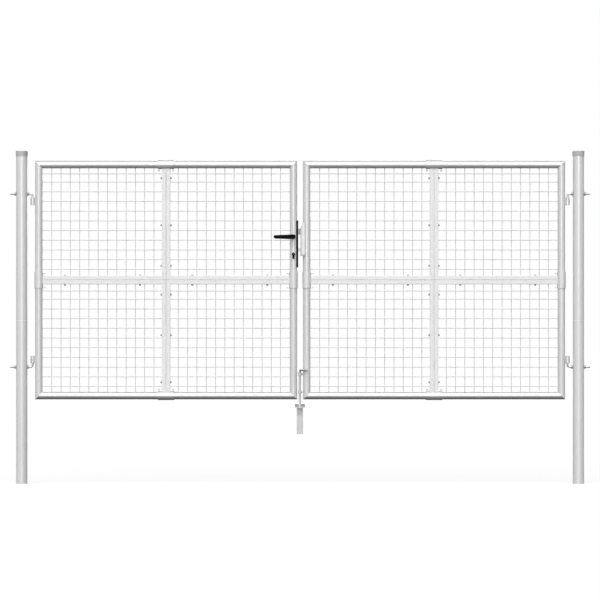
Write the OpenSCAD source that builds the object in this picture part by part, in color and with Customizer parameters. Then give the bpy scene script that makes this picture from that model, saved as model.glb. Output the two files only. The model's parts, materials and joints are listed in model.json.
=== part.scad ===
// Double-leaf garden gate of welded wire mesh in round-tube frames.
//
// Each leaf is four quarter frames. A quarter is a mitred corner of round tube
// on the outside, a mitred corner of square bar on the inside, and a mesh panel.
// Round sleeves join the tube ends, and the square bars lie back to back.
//
// Millimetres, +Z up, +X from the left post to the right post, -Y is the front.
// The origin is the middle of the left post's foot. Both leaves close at y = 0.

/* [Opening] */
// Clear width between the two posts
opening_w = 2880; // [2200:10:3600]
// Gap between a post and the leaf that hangs on it
hinge_gap = 40; // [36:1:60]
// Gap between the two closed leaves
leaf_gap = 30; // [28:1:50]

/* [Posts] */
// Outer diameter of a post
post_d = 60; // [48:1:90]
// Wall of the post tube
post_wall = 1.5; // [1.2:0.1:4]
// Length of a whole post, without the cap's top
post_h = 1753; // [1300:1:2400]
// Height of the joint between a post's two sections
post_joint_z = 861; // [700:1:1000]
// Length of the spigot inside the joint
post_spigot_l = 90; // [60:1:200]
// How far the cap stands out round the post
cap_wall = 1.5; // [1:0.1:4]
// Depth of the cap's skirt
cap_skirt = 24; // [12:1:50]
// Thickness of the cap's top
cap_top = 4; // [2:0.5:10]

/* [Leaves] */
// Height of a leaf
leaf_h = 1260; // [1040:10:1600]
// Height of the leaves' lower edge above the post's foot
leaf_foot_z = 445; // [380:1:600]
// Outer diameter of the frame tube
frame_d = 40; // [34:1:50]
// Wall of the frame tube
frame_wall = 1.5; // [1.2:0.1:3]
// Width of a square bar
bar_w = 22; // [18:1:28]
// Wall of a square bar
bar_wall = 1.5; // [1.2:0.1:3]
// Corner radius of a square bar
bar_r = 2.5; // [1.8:0.1:4]
// Wall of a joining sleeve
sleeve_wall = 3.6; // [2:0.1:5]
// Length of a joining sleeve
sleeve_l = 88; // [60:1:100]

/* [Mesh] */
// Wire thickness
wire_d = 4; // [3:0.5:6]
// Spacing of the upright wires
wire_pitch_x = 49.1; // [40:0.1:80]
// Spacing of the level wires
wire_pitch_z = 51.2; // [40:0.1:80]
// Spacing of the two uppermost level wires of each panel
top_cell_h = 43.5; // [30:0.1:80]
// First upright wire from the stile
first_wire_x = 48; // [20:1:60]
// First level wire from the rail
first_wire_z = 28.5; // [20:0.5:60]

/* [Hinges] */
// Diameter of a hook bolt and of its pin
hook_d = 12; // [10:1:14]
// Radius of the bend between bolt and pin
hook_bend_r = 15; // [13:1:16]
// Hinge axis from the post's face
hinge_out = 28; // [24:1:34]
// Bolt end past the post's far side
hook_stub = 32; // [24:1:60]
// Upper hook bolt below the leaf's top edge
upper_hook_in = 174; // [120:1:300]
// Lower hook bolt above the leaf's lower edge
lower_hook_in = 172; // [120:1:300]
// Hinge eye below the upper hook bolt
upper_eye_drop = 21; // [17:1:30]
// Hinge eye above the lower hook bolt
lower_eye_rise = 19; // [17:1:30]
// Length of a hinge eye
eye_l = 39; // [30:1:60]
// Nut width across its flats
nut_af = 18; // [16:1:19]
// Nut thickness
nut_h = 8; // [6:0.5:9]

/* [Lock] */
// Middle of the lock above the middle of the leaf
lock_rise = 191; // [185:0.5:240]
// Height of the lock's faceplate
lock_h = 248; // [225:1:260]
// Width of the lock's faceplate
lock_w = 24; // [20:1:24]
// How far the faceplate stands out of the stile
lock_proud = 5; // [3:0.5:8]
// Spindle above the middle of the lock
spindle_rise = 37.5; // [34:0.5:42]
// Key cylinder below the spindle
cylinder_drop = 92; // [85:1:95]
// How far the bolts stand out of the faceplate
bolt_throw = 16; // [12:0.5:17]
// Length of a lever from tip to heel
lever_l = 117; // [90:1:150]
// Lever height at the spindle
lever_heel_d = 24; // [22:1:30]
// Lever height at the tip
lever_tip_d = 16; // [14:1:20]
// Lever thickness
lever_t = 13; // [10:1:16]
// Lever's outer face from the gate's middle plane
lever_reach = 60; // [50:1:80]

/* [Keep] */
// Height of the keep
keep_h = 173; // [160:1:200]
// Middle of the keep above the middle of the lock
keep_rise = 23.5; // [15:0.5:30]
// Sheet thickness of the keep
keep_t = 3; // [2:0.5:4]

/* [Drop rod] */
// Rod diameter
rod_d = 12; // [10:1:13]
// Rod axis from the edge of the leaf that carries it
rod_out = 16; // [15:0.5:20]
// Lower guide above the leaf's lower edge
lower_guide_in = 39; // [30:1:60]
// Upper guide above the leaf's lower edge
upper_guide_in = 133; // [110:1:200]
// Length of a guide's ring
guide_l = 21; // [15:1:30]
// Handle length from the rod's axis
handle_l = 69; // [55:1:90]
// Top of the ground socket below the leaves
socket_drop = 21; // [15:1:60]
// How deep the lowered rod reaches into the socket
rod_depth = 40; // [25:1:80]
// Width of the socket tube
socket_w = 32; // [28:1:50]
// Length of the socket tube
socket_l = 140; // [100:1:300]
// Diameter of the socket's collar
collar_d = 54; // [48:1:80]
// Height of the collar
collar_h = 22; // [12:1:40]

/* [Hidden] */
$fn = 64;

// clearances
seat = 0.2;          // between pieces that are pushed together
run_gap = 0.3;       // between a pin or rod and its bore, on the radius
slide_gap = 0.4;     // between a sliding bolt and its window
weld_sink = 0.8;     // how far crossing wires sink into each other
over = 1;            // how far a cutting shape passes a face
edge = 0.8;          // chamfer on turned ends and on the joint of a post

// posts and leaves
post_r = post_d / 2;
frame_r = frame_d / 2;
sleeve_r = frame_r + seat + sleeve_wall;
post_span = opening_w + post_d;
leaf_w = (opening_w - 2 * hinge_gap - leaf_gap) / 2;
leaf_mid_x = post_r + hinge_gap + leaf_w / 2;
leaf_mid_z = leaf_foot_z + leaf_h / 2;
stile_in = leaf_w / 2 - frame_r;          // stile axis from the leaf's middle
rail_in = leaf_h / 2 - frame_r;           // rail axis from the leaf's middle
meeting_x = leaf_mid_x + stile_in;        // axis of the left leaf's meeting stile
bar_in = bar_w / 2 + seat;                // bar axis from the leaf's middle lines

// hinges
hinge_x = post_r + hinge_out;
eye_r = hinge_gap - hinge_out;            // the eye touches the stile
upper_hook_z = leaf_foot_z + leaf_h - upper_hook_in;
lower_hook_z = leaf_foot_z + lower_hook_in;
pin_end_in = 4;                           // the pin stops inside the eye
hook_point = 1.2;                         // chamfer on both ends of a hook bolt
washer_d = 24;
washer_t = 2;
weld_w = 9;                               // weld between an eye and its stile
weld_in = 3;                              // bare end of an eye past the weld

// lock, measured from the meeting stile's axis and the middle of the lock
lock_z = leaf_mid_z + lock_rise;
plate_front = frame_r + lock_proud;
plate_back = sqrt(pow(frame_r - frame_wall, 2) - pow(lock_w / 2, 2)) - seat;
case_w = 19;
case_h = 230;
case_back = -12;
spindle_w = 8;
spindle_hole_d = 12.4;
lever_neck_d = 20;
lever_edge_r = 4;
lever_socket_l = 12;
bolt_w = 12;
bolt_tip = plate_front + bolt_throw;
bolt_tail = case_back + bolt_throw + 2;
latch_rise = 65;
latch_h = 31;
latch_bevel = 9;
deadbolt_h = 21;
deadbolt_above_cylinder = 22;
cylinder_z = spindle_rise - cylinder_drop;
cylinder_r = 9;
cylinder_leg_w = 10.5;
cylinder_leg_l = 25.5;
cylinder_l = 60;
key_slot_w = 2.4;
key_slot_h = 8.5;
key_slot_depth = 2;

// keep, measured from the meeting stile's axis
keep_front = frame_r + 14;                // lips of the keep, in the gap
keep_tail = 8;                            // ends of its cheeks, beside the stile
keep_mouth = bolt_w + 6;                  // slot between the lips
keep_lip_t = 2.5;
keep_fold_r = 3;                          // outer radius where a cheek folds into its lip
keep_cut_x = 12;                          // sloped upper corner
keep_cut_z = 26;

// drop rod and socket
rod_x = post_span - meeting_x - frame_r - rod_out;
guide_wall = 2.2;
guide_r = rod_d / 2 + run_gap + guide_wall;
guide_arm_d = 8;
lower_guide_z = leaf_foot_z + lower_guide_in;
upper_guide_z = leaf_foot_z + upper_guide_in;
handle_bend_r = 11;
handle_turn = 55;                         // from the leaf's plane to the front
handle_foot_z = upper_guide_z + guide_l / 2 + 0.5;
socket_top_z = leaf_foot_z - socket_drop;
rod_foot_z = socket_top_z - rod_depth;
rod_point = 3;
socket_wall = 2;
collar_edge = 2.5;
collar_bore_d = rod_d + 4;

steel = [0.76, 0.77, 0.78];
bright_steel = [0.84, 0.85, 0.86];
cap_grey = [0.58, 0.59, 0.60];
black = [0.09, 0.09, 0.10];

// ---------- placing ----------

// The right half of the gate is the left half, mirrored about the middle.
module right_side() {
    translate([post_span, 0, 0])
        mirror([1, 0, 0])
            children();
}

// A quarter is drawn at the lower hinge corner and mirrored to its own corner.
module in_quarter(lock_side, top) {
    translate([leaf_mid_x, 0, leaf_mid_z])
        mirror([lock_side ? 1 : 0, 0, 0])
            mirror([0, 0, top ? 1 : 0])
                children();
}

// Places a child at the lock, with +X out of the stile's edge.
module at_lock() {
    translate([meeting_x, 0, lock_z])
        children();
}

// ---------- profiles and tubes ----------

module ring(outer_r, wall) {
    difference() {
        circle(r = outer_r);
        circle(r = outer_r - wall);
    }
}

module rounded_square(side, r) {
    square([side - 2 * r, side], center = true);
    square([side, side - 2 * r], center = true);
    for (x = [-1, 1])
        for (y = [-1, 1])
            translate([x * (side / 2 - r), y * (side / 2 - r)])
                circle(r = r);
}

module bar_profile() {
    difference() {
        rounded_square(bar_w, bar_r);
        rounded_square(bar_w - 2 * bar_wall, bar_r - bar_wall);
    }
}

// A profile run along +X and +Z from a mitred corner at the origin.
module mitred_corner(run_x, run_z, half) {
    cut = half + over;
    intersection() {
        rotate([0, 90, 0])
            translate([0, 0, -half])
                linear_extrude(run_x + half)
                    children();
        upright_slab(cut)
            polygon([[-cut, -cut], [run_x + over, -cut], [run_x + over, cut], [cut, cut]]);
    }
    intersection() {
        translate([0, 0, -half])
            linear_extrude(run_z + half)
                children();
        upright_slab(cut)
            polygon([[-cut, -cut], [cut, cut], [cut, run_z + over], [-cut, run_z + over]]);
    }
}

// Stands an outline drawn in X and Z up, half on each side of y = 0.
module upright_slab(half) {
    rotate([90, 0, 0])
        translate([0, 0, -half])
            linear_extrude(2 * half)
                children();
}

module along_x(length, r) {
    rotate([0, 90, 0])
        cylinder(r = r, h = length);
}

// A cylinder whose ends are chamfered: foot is the lower chamfer, head the upper.
module turned(r, h, foot, head) {
    if (foot > 0)
        cylinder(r1 = r - foot, r2 = r, h = foot);
    translate([0, 0, foot])
        cylinder(r = r, h = h - foot - head);
    if (head > 0)
        translate([0, 0, h - head])
            cylinder(r1 = r, r2 = r - head, h = head);
}

// ---------- posts ----------

// The lower section carries the spigot that the upper section is pushed over.
module post_lower() {
    spigot_r = post_r - post_wall;
    color(steel)
        difference() {
            union() {
                turned(post_r, post_joint_z, 0, edge);
                turned(spigot_r - seat, post_joint_z + post_spigot_l, 0, edge);
            }
            translate([0, 0, -over])
                cylinder(r = spigot_r, h = post_joint_z - post_spigot_l + over);
            translate([0, 0, -over])
                cylinder(r = spigot_r - post_wall, h = post_joint_z + post_spigot_l + 2 * over);
            hook_hole(lower_hook_z);
        }
}

module post_upper() {
    color(steel)
        difference() {
            translate([0, 0, post_joint_z])
                turned(post_r, post_h - post_joint_z, edge, 0);
            translate([0, 0, post_joint_z - over])
                cylinder(r = post_r - post_wall, h = post_h - post_joint_z + 2 * over);
            hook_hole(upper_hook_z);
        }
}

module hook_hole(z) {
    translate([-post_r - over, 0, z])
        along_x(post_d + 2 * over, hook_d / 2 + seat);
}

module post_cap() {
    outer = post_r + seat + cap_wall;
    edge_r = 2.5;
    color(cap_grey)
        translate([0, 0, post_h - cap_skirt])
            rotate_extrude()
                difference() {
                    union() {
                        square([outer, cap_skirt + cap_top - edge_r]);
                        square([outer - edge_r, cap_skirt + cap_top]);
                        translate([outer - edge_r, cap_skirt + cap_top - edge_r])
                            circle(r = edge_r);
                    }
                    translate([-over, -over])
                        square([post_r + seat + over, cap_skirt + over]);
                }
}

// ---------- hinges ----------

// A threaded bolt through the post that bends into a pin. turn is 1 for a pin
// that points up and -1 for one that points down.
module hook_bolt(z, turn, pin_l) {
    straight = hinge_x - hook_bend_r;
    color(bright_steel)
        translate([0, 0, z])
            mirror([0, 0, turn < 0 ? 1 : 0]) {
                translate([-post_r - hook_stub, 0, 0])
                    rotate([0, 90, 0])
                        turned(hook_d / 2, post_r + hook_stub + straight, hook_point, 0);
                translate([straight, 0, hook_bend_r])
                    rotate([90, 0, 0])
                        rotate([0, 0, -90])
                            rotate_extrude(angle = 90)
                                translate([hook_bend_r, 0])
                                    circle(d = hook_d);
                translate([hinge_x, 0, hook_bend_r])
                    turned(hook_d / 2, pin_l - hook_bend_r, 0, hook_point);
            }
}

module hook_bolts() {
    hook_bolt(upper_hook_z, -1, upper_eye_drop + eye_l - pin_end_in);
    hook_bolt(lower_hook_z, 1, lower_eye_rise + eye_l - pin_end_in);
}

// One washer and nut against the +X side of the post.
module nut_and_washer() {
    difference() {
        union() {
            translate([post_r, 0, 0])
                along_x(washer_t, washer_d / 2);
            translate([post_r + washer_t, 0, 0])
                rotate([0, 90, 0])
                    cylinder(d = nut_af / cos(30), h = nut_h, $fn = 6);
        }
        translate([post_r - over, 0, 0])
            along_x(washer_t + nut_h + 2 * over, hook_d / 2 + 0.1);
    }
}

module post_nuts() {
    color(bright_steel)
        for (z = [upper_hook_z, lower_hook_z])
            for (side = [0, 1])
                translate([0, 0, z])
                    mirror([side, 0, 0])
                        nut_and_washer();
}

// An eye welded to the hinge stile, from z upwards.
module hinge_eye(z) {
    stile_x = post_r + hinge_gap + frame_r;
    translate([0, 0, z])
        difference() {
            union() {
                translate([hinge_x, 0, 0])
                    turned(eye_r, eye_l, edge, edge);
                translate([hinge_x, -weld_w / 2, weld_in])
                    cube([stile_x - hinge_x, weld_w, eye_l - 2 * weld_in]);
            }
            translate([hinge_x, 0, -over])
                cylinder(r = hook_d / 2 + run_gap, h = eye_l + 2 * over);
            translate([stile_x, 0, -over])
                cylinder(r = frame_r, h = eye_l + 2 * over);
        }
}

module hinge_eyes() {
    color(bright_steel) {
        hinge_eye(upper_hook_z - upper_eye_drop - eye_l);
        hinge_eye(lower_hook_z + lower_eye_rise);
    }
}

// ---------- leaf quarters ----------

module frame_quarter() {
    color(steel)
        translate([-stile_in, 0, -rail_in])
            mitred_corner(stile_in - seat, rail_in - seat, frame_r)
                ring(frame_r, frame_wall);
}

// The inner corner of square bar, cut to the round of the sleeves it meets.
module bars_quarter() {
    color(steel)
        difference() {
            translate([-bar_in, 0, -bar_in])
                mirror([1, 0, 0])
                    mirror([0, 0, 1])
                        mitred_corner(stile_in - bar_in, rail_in - bar_in, bar_w / 2)
                            bar_profile();
            sleeve_space();
        }
}

module sleeve_space() {
    for (place = [[-stile_in, 0], [0, -rail_in]])
        translate([place[0], 0, place[1]])
            rotate([0, place[0] == 0 ? 90 : 0, 0])
                cylinder(r = sleeve_r + seat, h = 2 * sleeve_l, center = true);
}

module wire(length) {
    cylinder(d = wire_d / cos(30), h = length, $fn = 6);
}

// The mesh panel of one quarter: level wires in front of upright wires. The cells of
// its uppermost row, beside the rail or beside the bar, have their own height.
module mesh_quarter(top) {
    low_x = -leaf_w / 2 + frame_d;
    low_z = -leaf_h / 2 + frame_d;
    clear_w = -bar_in - bar_w / 2 - low_x;
    clear_h = -bar_in - bar_w / 2 - low_z;
    layer = (wire_d - weld_sink) / 2;
    for (x = [first_wire_x : wire_pitch_x : clear_w - wire_d])
        translate([low_x + x, layer, low_z + seat])
            wire(clear_h - 2 * seat);
    last_wire = floor((clear_h - wire_d - first_wire_z - top_cell_h) / wire_pitch_z) + 1;
    past_top_cell = top ? 1 : last_wire;
    for (i = [0 : last_wire]) {
        shift = i < past_top_cell ? 0 : top_cell_h - wire_pitch_z;
        translate([low_x + seat, -layer, low_z + first_wire_z + i * wire_pitch_z + shift])
            rotate([0, 90, 0])
                wire(clear_w - 2 * seat);
    }
}

module mesh_row(top) {
    color(bright_steel)
        for (lock_side = [false, true])
            in_quarter(lock_side, top)
                mesh_quarter(top);
}

module sleeve() {
    translate([0, 0, -sleeve_l / 2])
        difference() {
            turned(sleeve_r, sleeve_l, edge, edge);
            translate([0, 0, -over])
                cylinder(r = sleeve_r - sleeve_wall, h = sleeve_l + 2 * over);
        }
}

module leaf_sleeves() {
    color(steel)
        translate([leaf_mid_x, 0, leaf_mid_z])
            for (side = [-1, 1]) {
                translate([side * stile_in, 0, 0])
                    sleeve();
                translate([0, 0, side * rail_in])
                    rotate([0, 90, 0])
                        sleeve();
            }
}

// ---------- lock ----------

// Everything that is cut from the meeting stile for the lock.
module lock_cuts() {
    at_lock() {
        translate([plate_back - over, -lock_w / 2 - seat, -lock_h / 2 - seat])
            cube([plate_front, lock_w + 2 * seat, lock_h + 2 * seat]);
        translate([0, 0, spindle_rise])
            across(frame_r + over)
                circle(d = spindle_hole_d);
        translate([0, 0, cylinder_z])
            across(frame_r + over)
                cylinder_outline(seat);
    }
}

// Runs an outline drawn in X and Z through the gate, half on each side.
module across(half) {
    upright_slab(half)
        children();
}

module cylinder_outline(grow) {
    leg_r = cylinder_leg_w / 2;
    foot = leg_r - cylinder_leg_l;
    circle(r = cylinder_r + grow);
    translate([-leg_r - grow, foot])
        square([cylinder_leg_w + 2 * grow, -foot]);
    translate([0, foot])
        circle(r = leg_r + grow);
}

// The space a bolt slides in, in the case or in the faceplate.
module bolt_space(z, height, from_x) {
    translate([from_x, -bolt_w / 2 - slide_gap, z - height / 2 - slide_gap])
        cube([2 * plate_front, bolt_w + 2 * slide_gap, height + 2 * slide_gap]);
}

module bolt_spaces(from_x) {
    bolt_space(latch_rise, latch_h, from_x);
    bolt_space(cylinder_z + deadbolt_above_cylinder, deadbolt_h, from_x);
}

module lock_case() {
    color(black)
        at_lock()
            difference() {
                translate([case_back, -case_w / 2, -case_h / 2])
                    cube([plate_back - case_back, case_w, case_h]);
                bolt_spaces(case_back + 1.5);
                translate([0, 0, spindle_rise])
                    across(case_w)
                        circle(d = spindle_hole_d);
                translate([0, 0, cylinder_z])
                    across(case_w)
                        cylinder_outline(seat);
            }
}

module lock_faceplate() {
    edge_r = 3;
    color(black)
        at_lock()
            difference() {
                translate([0, 0, -lock_h / 2])
                    linear_extrude(lock_h) {
                        translate([plate_back, -lock_w / 2])
                            square([plate_front - edge_r - plate_back, lock_w]);
                        translate([plate_back, -lock_w / 2 + edge_r])
                            square([plate_front - plate_back, lock_w - 2 * edge_r]);
                        for (side = [-1, 1])
                            translate([plate_front - edge_r, side * (lock_w / 2 - edge_r)])
                                circle(r = edge_r);
                    }
                bolt_spaces(plate_back - over);
            }
}

module lock_cylinder() {
    color(black)
        at_lock()
            translate([0, 0, cylinder_z])
                difference() {
                    across(cylinder_l / 2)
                        cylinder_outline(0);
                    for (side = [-1, 1])
                        translate([0, side * cylinder_l / 2, 0])
                            cube([key_slot_w, 2 * key_slot_depth, key_slot_h], center = true);
                }
}

module lever_spindle() {
    half = frame_r + 1 + lever_socket_l;
    color(bright_steel)
        at_lock()
            translate([0, 0, spindle_rise])
                cube([spindle_w, 2 * half, spindle_w], center = true);
}

// A rounded disc that faces the front, one end of a lever.
module lever_disc(r) {
    flat = r - lever_edge_r;
    rotate([90, 0, 0])
        rotate_extrude($fn = 40)
            translate([0, -lever_t / 2]) {
                square([flat, lever_t]);
                translate([0, lever_edge_r])
                    square([r, lever_t - 2 * lever_edge_r]);
                for (y = [lever_edge_r, lever_t - lever_edge_r])
                    translate([flat, y])
                        circle(r = lever_edge_r, $fn = 24);
            }
}

// A lever on the front of the gate: a tapered bar with rounded edges on a round
// neck, with a square socket for the spindle.
module lever() {
    heel_r = lever_heel_d / 2;
    tip_r = lever_tip_d / 2;
    mid_y = -lever_reach + lever_t / 2;
    color(black)
        at_lock()
            translate([0, 0, spindle_rise])
                difference() {
                    union() {
                        rotate([90, 0, 0])
                            translate([0, 0, frame_r + 1])
                                cylinder(d = lever_neck_d, h = -mid_y - frame_r - 1);
                        translate([0, mid_y, 0])
                            hull() {
                                lever_disc(heel_r);
                                translate([heel_r + tip_r - lever_l, 0, 0])
                                    lever_disc(tip_r);
                            }
                    }
                    translate([0, -frame_r - 1, 0])
                        cube([spindle_w + seat, 2 * lever_socket_l + seat, spindle_w + seat], center = true);
                }
}

module front_lever() {
    lever();
}

module rear_lever() {
    mirror([0, 1, 0])
        lever();
}

module latch_bolt() {
    color(bright_steel)
        at_lock()
            translate([0, 0, latch_rise - latch_h / 2])
                linear_extrude(latch_h)
                    polygon([
                        [bolt_tail, -bolt_w / 2],
                        [plate_front + 3, -bolt_w / 2],
                        [bolt_tip, -bolt_w / 2 + latch_bevel],
                        [bolt_tip, bolt_w / 2],
                        [bolt_tail, bolt_w / 2]
                    ]);
}

module deadbolt() {
    color(bright_steel)
        at_lock()
            translate([bolt_tail, -bolt_w / 2, cylinder_z + deadbolt_above_cylinder - deadbolt_h / 2])
                cube([bolt_tip - bolt_tail, bolt_w, deadbolt_h]);
}

// ---------- keep ----------

// What a corner loses when it is rounded to radius r.
module corner_waste(r) {
    difference() {
        square(r + over);
        circle(r = r);
    }
}

// A lipped channel on the other leaf's meeting stile. The bolts stand between
// its lips. Drawn on the left leaf's stile and mirrored by right_side().
module keep() {
    inner = frame_r;
    outer = frame_r + keep_t;
    color(bright_steel)
        translate([meeting_x, 0, lock_z + keep_rise - keep_h / 2])
            difference() {
                linear_extrude(keep_h) {
                    translate([frame_r, -outer])
                        square([keep_t, 2 * outer]);
                    for (side = [0, 1])
                        mirror([0, side])
                            difference() {
                                union() {
                                    translate([keep_tail, inner])
                                        square([keep_front - keep_tail, keep_t]);
                                    translate([keep_front - keep_lip_t, keep_mouth / 2])
                                        square([keep_lip_t, outer - keep_mouth / 2]);
                                }
                                translate([keep_front - keep_fold_r, outer - keep_fold_r])
                                    corner_waste(keep_fold_r);
                            }
                }
                translate([0, 0, keep_h])
                    upright_slab(outer + over)
                        polygon([
                            [keep_front - keep_cut_x, over],
                            [keep_front - keep_cut_x, 0],
                            [keep_front, -keep_cut_z],
                            [keep_front + over, -keep_cut_z],
                            [keep_front + over, over]
                        ]);
            }
}

// ---------- drop rod ----------

module rod_guide(z) {
    stile_x = post_span - meeting_x;
    translate([0, 0, z])
        difference() {
            union() {
                translate([rod_x, 0, -guide_l / 2])
                    turned(guide_r, guide_l, edge, edge);
                translate([rod_x, 0, 0])
                    along_x(stile_x - rod_x, guide_arm_d / 2);
            }
            translate([rod_x, 0, -guide_l])
                cylinder(r = rod_d / 2 + run_gap, h = 2 * guide_l);
            translate([stile_x, 0, -guide_l])
                cylinder(r = frame_r, h = 2 * guide_l);
        }
}

module drop_rod_guides() {
    color(bright_steel) {
        rod_guide(lower_guide_z);
        rod_guide(upper_guide_z);
    }
}

// A plain rod whose top is bent over into a level handle.
module drop_rod() {
    arm_l = handle_l - handle_bend_r;
    color(bright_steel)
        translate([rod_x, 0, 0])
            rotate([0, 0, -handle_turn]) {
                translate([0, 0, rod_foot_z])
                    cylinder(r1 = rod_d / 2 - rod_point / 2, r2 = rod_d / 2, h = rod_point);
                translate([0, 0, rod_foot_z + rod_point])
                    cylinder(d = rod_d, h = handle_foot_z - rod_foot_z - rod_point);
                translate([handle_bend_r, 0, handle_foot_z])
                    rotate([90, 0, 0])
                        rotate([0, 0, 90])
                            rotate_extrude(angle = 90)
                                translate([handle_bend_r, 0])
                                    circle(d = rod_d);
                translate([handle_bend_r, 0, handle_foot_z + handle_bend_r])
                    rotate([0, 90, 0])
                        turned(rod_d / 2, arm_l, 0, edge);
            }
}

module ground_socket_tube() {
    color(steel)
        translate([rod_x, 0, socket_top_z - collar_h - socket_l])
            linear_extrude(socket_l)
                difference() {
                    rounded_square(socket_w, 3);
                    rounded_square(socket_w - 2 * socket_wall, 1);
                }
}

module ground_socket_collar() {
    color(steel)
        translate([rod_x, 0, socket_top_z - collar_h])
            difference() {
                turned(collar_d / 2, collar_h, collar_edge, collar_edge);
                translate([0, 0, -over])
                    cylinder(d = collar_bore_d, h = collar_h + 2 * over);
            }
}

// ---------- named pieces ----------

module left_post_lower() { post_lower(); }
module left_post_upper() { post_upper(); }
module right_post_lower() { right_side() post_lower(); }
module right_post_upper() { right_side() post_upper(); }
module left_post_cap() { post_cap(); }
module right_post_cap() { right_side() post_cap(); }
module left_hook_bolts() { hook_bolts(); }
module right_hook_bolts() { right_side() hook_bolts(); }
module hook_bolt_nuts() {
    post_nuts();
    right_side()
        post_nuts();
}
module left_top_hinge_frame() { in_quarter(false, true) frame_quarter(); }
module left_top_lock_frame() {
    difference() {
        in_quarter(true, true)
            frame_quarter();
        lock_cuts();
    }
}
module left_bottom_hinge_frame() { in_quarter(false, false) frame_quarter(); }
module left_bottom_lock_frame() { in_quarter(true, false) frame_quarter(); }
module left_top_hinge_bars() { in_quarter(false, true) bars_quarter(); }
module left_top_lock_bars() { in_quarter(true, true) bars_quarter(); }
module left_bottom_hinge_bars() { in_quarter(false, false) bars_quarter(); }
module left_bottom_lock_bars() { in_quarter(true, false) bars_quarter(); }
module left_top_mesh() { mesh_row(true); }
module left_bottom_mesh() { mesh_row(false); }
module left_leaf_sleeves() { leaf_sleeves(); }
module left_hinge_eyes() { hinge_eyes(); }
module right_top_hinge_frame() { right_side() in_quarter(false, true) frame_quarter(); }
module right_top_keep_frame() { right_side() in_quarter(true, true) frame_quarter(); }
module right_bottom_hinge_frame() { right_side() in_quarter(false, false) frame_quarter(); }
module right_bottom_keep_frame() { right_side() in_quarter(true, false) frame_quarter(); }
module right_top_hinge_bars() { right_side() in_quarter(false, true) bars_quarter(); }
module right_top_keep_bars() { right_side() in_quarter(true, true) bars_quarter(); }
module right_bottom_hinge_bars() { right_side() in_quarter(false, false) bars_quarter(); }
module right_bottom_keep_bars() { right_side() in_quarter(true, false) bars_quarter(); }
module right_top_mesh() { right_side() mesh_row(true); }
module right_bottom_mesh() { right_side() mesh_row(false); }
module right_leaf_sleeves() { right_side() leaf_sleeves(); }
module right_hinge_eyes() { right_side() hinge_eyes(); }
module lock_keep() { right_side() keep(); }

left_post_lower();
left_post_upper();
right_post_lower();
right_post_upper();
left_post_cap();
right_post_cap();
left_hook_bolts();
right_hook_bolts();
hook_bolt_nuts();
ground_socket_tube();
ground_socket_collar();
left_top_hinge_frame();
left_top_lock_frame();
left_bottom_hinge_frame();
left_bottom_lock_frame();
left_top_hinge_bars();
left_top_lock_bars();
left_bottom_hinge_bars();
left_bottom_lock_bars();
left_top_mesh();
left_bottom_mesh();
left_leaf_sleeves();
left_hinge_eyes();
right_top_hinge_frame();
right_top_keep_frame();
right_bottom_hinge_frame();
right_bottom_keep_frame();
right_top_hinge_bars();
right_top_keep_bars();
right_bottom_hinge_bars();
right_bottom_keep_bars();
right_top_mesh();
right_bottom_mesh();
right_leaf_sleeves();
right_hinge_eyes();
lock_case();
lock_faceplate();
lock_cylinder();
lever_spindle();
front_lever();
rear_lever();
latch_bolt();
deadbolt();
lock_keep();
drop_rod_guides();
drop_rod();
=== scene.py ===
"""Looks of the double-leaf mesh garden gate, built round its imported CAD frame.

Metres. +X runs from the left post to the right post, -Y is the front, +Z is up.
CAD nodes keep their shapes and get materials. Welded wires, threaded bolts, nuts,
screws, the key cylinder and weld beads are modelled here.
"""
import json
import math

import bmesh
import bpy
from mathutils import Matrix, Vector, noise


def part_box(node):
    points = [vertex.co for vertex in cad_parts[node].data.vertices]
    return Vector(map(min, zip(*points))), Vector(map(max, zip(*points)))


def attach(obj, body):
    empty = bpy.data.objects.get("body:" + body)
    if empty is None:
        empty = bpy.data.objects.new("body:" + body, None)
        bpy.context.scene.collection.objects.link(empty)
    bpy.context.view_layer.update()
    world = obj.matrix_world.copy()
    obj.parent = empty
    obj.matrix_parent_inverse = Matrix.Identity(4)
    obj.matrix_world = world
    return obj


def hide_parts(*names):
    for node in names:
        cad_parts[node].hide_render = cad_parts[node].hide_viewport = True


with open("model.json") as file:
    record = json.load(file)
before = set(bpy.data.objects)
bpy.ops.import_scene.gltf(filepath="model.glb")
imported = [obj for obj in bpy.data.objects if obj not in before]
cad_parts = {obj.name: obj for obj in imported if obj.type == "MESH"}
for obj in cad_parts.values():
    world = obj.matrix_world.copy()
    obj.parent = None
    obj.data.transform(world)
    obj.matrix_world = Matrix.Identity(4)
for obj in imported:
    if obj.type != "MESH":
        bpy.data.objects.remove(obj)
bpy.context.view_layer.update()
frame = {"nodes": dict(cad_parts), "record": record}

# ---------- sizes that the frame's boxes don't give ----------

# Welded mesh
WIRE_R = 0.002
WIRE_PITCH_X = 0.0491
WIRE_PITCH_Z = 0.0512
TOP_CELL_H = 0.0435          # uppermost row of cells of every panel
FIRST_WIRE_X = 0.048         # from the stile's inner face
FIRST_WIRE_Z = 0.0285        # from the rail's inner face
WIRES_UPRIGHT = 12
WIRES_LEVEL = 11
WIRE_LAYER = 0.0016          # wire axis from the leaf's middle plane
WIRE_SINK = 0.001            # how far a wire's end is welded in
CROSSING_NUGGET = (0.0027, 0.0016, 0.0027)
UPRIGHT_END_NUGGET = (0.0032, 0.0030, 0.0016)
LEVEL_END_NUGGET = (0.0016, 0.0030, 0.0032)

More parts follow.
